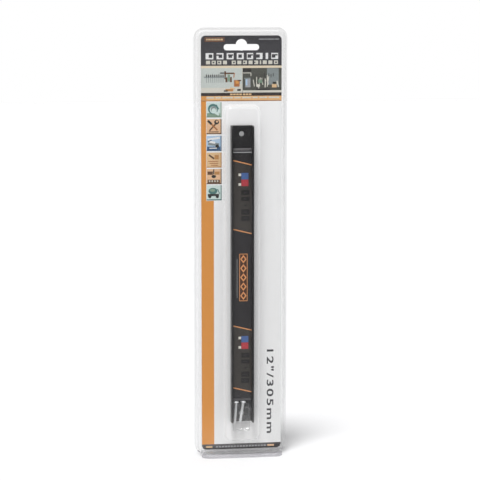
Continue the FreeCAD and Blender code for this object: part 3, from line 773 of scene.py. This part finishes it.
bpy.ops.object.mode_set(mode="EDIT")
bpy.ops.mesh.delete(type="ONLY_FACE")
bpy.ops.mesh.select_all(action="SELECT")
bpy.ops.mesh.subdivide(number_cuts=BAG_CUTS)
bpy.ops.object.mode_set(mode="OBJECT")
for name, kind, size, depth in (("folds", "CLOUDS", 5.0, 1.1), ("creases", "VORONOI", 3.2, 0.75)):
    texture = bpy.data.textures.new(name, kind)
    texture.noise_scale = size * MM
    wrinkle = bag.modifiers.new(name, "DISPLACE")
    wrinkle.texture, wrinkle.strength = texture, depth * MM
    wrinkle.texture_coords = "LOCAL"
    bpy.ops.object.modifier_apply(modifier=wrinkle.name)
seal_top = bag_low.z + BAG_SEAL * MM
for vertex in bag.data.vertices:
    closing = max(0.0, min(1.0, (seal_top - vertex.co.z) / (BAG_SEAL * MM)))
    vertex.co.y += (middle.y - vertex.co.y) * closing * SEAL_PINCH
    for axis in range(3):
        vertex.co[axis] = max(bag_low[axis], min(bag_high[axis], vertex.co[axis]))
wall = bag.modifiers.new("film", "SOLIDIFY")
wall.thickness, wall.offset = BAG_FILM * MM, -1
bpy.ops.object.modifier_apply(modifier=wall.name)
bag.data.materials.append(poly_film)
bpy.ops.object.shade_smooth_by_angle(angle=math.radians(30))
stands_for(bag, "screw_bag")


# ------------------------------------------------------------------ front shell
# The front half of the clamshell, from the same clear sheet: a flat rim, a ridge round the card window, a
# long blister over the bar, and the hollow foot that the pack stands on.
# The foot's deep front wall is given a smoky grey haze: painted shade that stands for the shadow under the
# pack, seen through the clear sheet.
FOOT_TOP = 4.3
# a clear sheet with a grey haze painted in: painted shade for the dark under the pack
foot_shade_pet = clear_sheet("pet_sheet_painted_foot_shade", "#918e98", 0.5, 0.6, 0.06, 24, 0.04)
front_sheet = copy_of("front_shell", "front_shell_sheet")
front_sheet.data.materials.append(clear_pet)
front_sheet.data.materials.append(foot_shade_pet)
split_at(front_sheet, (0, 0, FOOT_TOP * MM), (0, 0, 1))
# the foot's front faces take the sheet with the painted shade
for face in front_sheet.data.polygons:
    if face.center.z < FOOT_TOP * MM and face.normal.y < -0.3:
        face.material_index = 1
soften_edges(front_sheet, 0.12)
stands_for(front_sheet, "front_shell")


# ------------------------------------------------------------------ studio
# A pale table and white walls that fill the shadows, and one broad soft sun high in front on the left.
# The camera stands 1.86 m off, 8 degrees to the pack's left and 7.75 degrees above its middle.
CAMERA_TURN, CAMERA_RISE, CAMERA_DISTANCE = 8.0, 7.75, 1.860
AIM = Vector((-0.0018, -0.0007, 0.2245))
turn, rise = math.radians(CAMERA_TURN), math.radians(CAMERA_RISE)
sight = Vector((math.sin(turn) * math.cos(rise), math.cos(turn) * math.cos(rise), -math.sin(rise)))
bpy.ops.object.camera_add(location=AIM - sight * CAMERA_DISTANCE)
camera = bpy.context.object
camera.rotation_euler = sight.to_track_quat("-Z", "Y").to_euler()
camera.data.sensor_width = 36.0
camera.data.lens = 137.25
bpy.context.scene.camera = camera

table_white = bare_material("white_table")
# in glossy things the table mirrors dark in front of the pack, as an unlit room does
table_rays = add(table_white, "ShaderNodeLightPath")
table_place = add(table_white, "ShaderNodeTexCoord")
table_parts = add(table_white, "ShaderNodeSeparateXYZ", {"Vector": table_place.outputs["Object"]})
table_front = add(table_white, "ShaderNodeMapRange",
                  {"Value": table_parts.outputs["Y"], "From Min": -0.04, "From Max": -0.25})
table_dark = add(table_white, "ShaderNodeMath",
                 {0: table_rays.outputs["Is Glossy Ray"], 1: table_front.outputs["Result"]},
                 operation="MULTIPLY")
table_tone = add(table_white, "ShaderNodeMix",
                 {0: table_dark.outputs["Value"], 6: ink("#c9c9ca"), 7: ink("#4a4a4b")},
                 data_type="RGBA")
table_shader = add(table_white, "ShaderNodeBsdfPrincipled",
                   {"Base Color": table_tone.outputs[2], "Roughness": 0.8})
add(table_white, "ShaderNodeOutputMaterial", {"Surface": table_shader.outputs["BSDF"]})
TABLE_WIDTH = 12
bpy.ops.mesh.primitive_plane_add(size=TABLE_WIDTH, location=(0, 0, 0))
table = bpy.context.object
table.name = "table"
table.data.materials.append(table_white)

walls = bpy.data.worlds.new("white_walls")
bpy.context.scene.world = walls
walls.use_nodes = True
walls.node_tree.nodes.clear()
# the room is white where it is seen and as light; in glossy things its front side, where the
# camera stands, mirrors dark, as an unlit studio does
rays = add(walls, "ShaderNodeLightPath")
direction = add(walls, "ShaderNodeTexCoord")
parts = add(walls, "ShaderNodeSeparateXYZ", {"Vector": direction.outputs["Generated"]})
mirrored = add(walls, "ShaderNodeMapRange",
               {"Value": parts.outputs["Y"], "From Min": -0.97, "From Max": -0.6,
                "To Min": 0.06, "To Max": 1.0})
as_light = add(walls, "ShaderNodeMix",
               {0: rays.outputs["Is Glossy Ray"], 2: 0.58, 3: mirrored.outputs["Result"]})
as_seen = add(walls, "ShaderNodeMapRange",
              {"Value": rays.outputs["Is Camera Ray"], "To Min": as_light.outputs[0],
               "To Max": 1.0})
room = add(walls, "ShaderNodeBackground",
           {"Color": ink("#ffffff"), "Strength": as_seen.outputs["Result"]})
add(walls, "ShaderNodeOutputWorld", {"Surface": room.outputs["Background"]})

# a broad soft sun in front, 26 degrees to the left and 72 degrees up
LAMP_TURN, LAMP_RISE = math.radians(26), math.radians(72)
bpy.ops.object.light_add(type="SUN", location=(-0.4, -1.0, 1.5))
lamp = bpy.context.object
lamp.name = "soft_lamp"
lamp.data.energy = 3.8
lamp.data.angle = math.radians(15)
shine = Vector((math.sin(LAMP_TURN) * math.cos(LAMP_RISE),
                math.cos(LAMP_TURN) * math.cos(LAMP_RISE), -math.sin(LAMP_RISE)))
lamp.rotation_euler = shine.to_track_quat("-Z", "Y").to_euler()
bpy.context.scene.view_settings.view_transform = "Standard"
# the clear shells and the bag lie up to a dozen walls deep
bpy.context.scene.cycles.transparent_max_bounces = 32
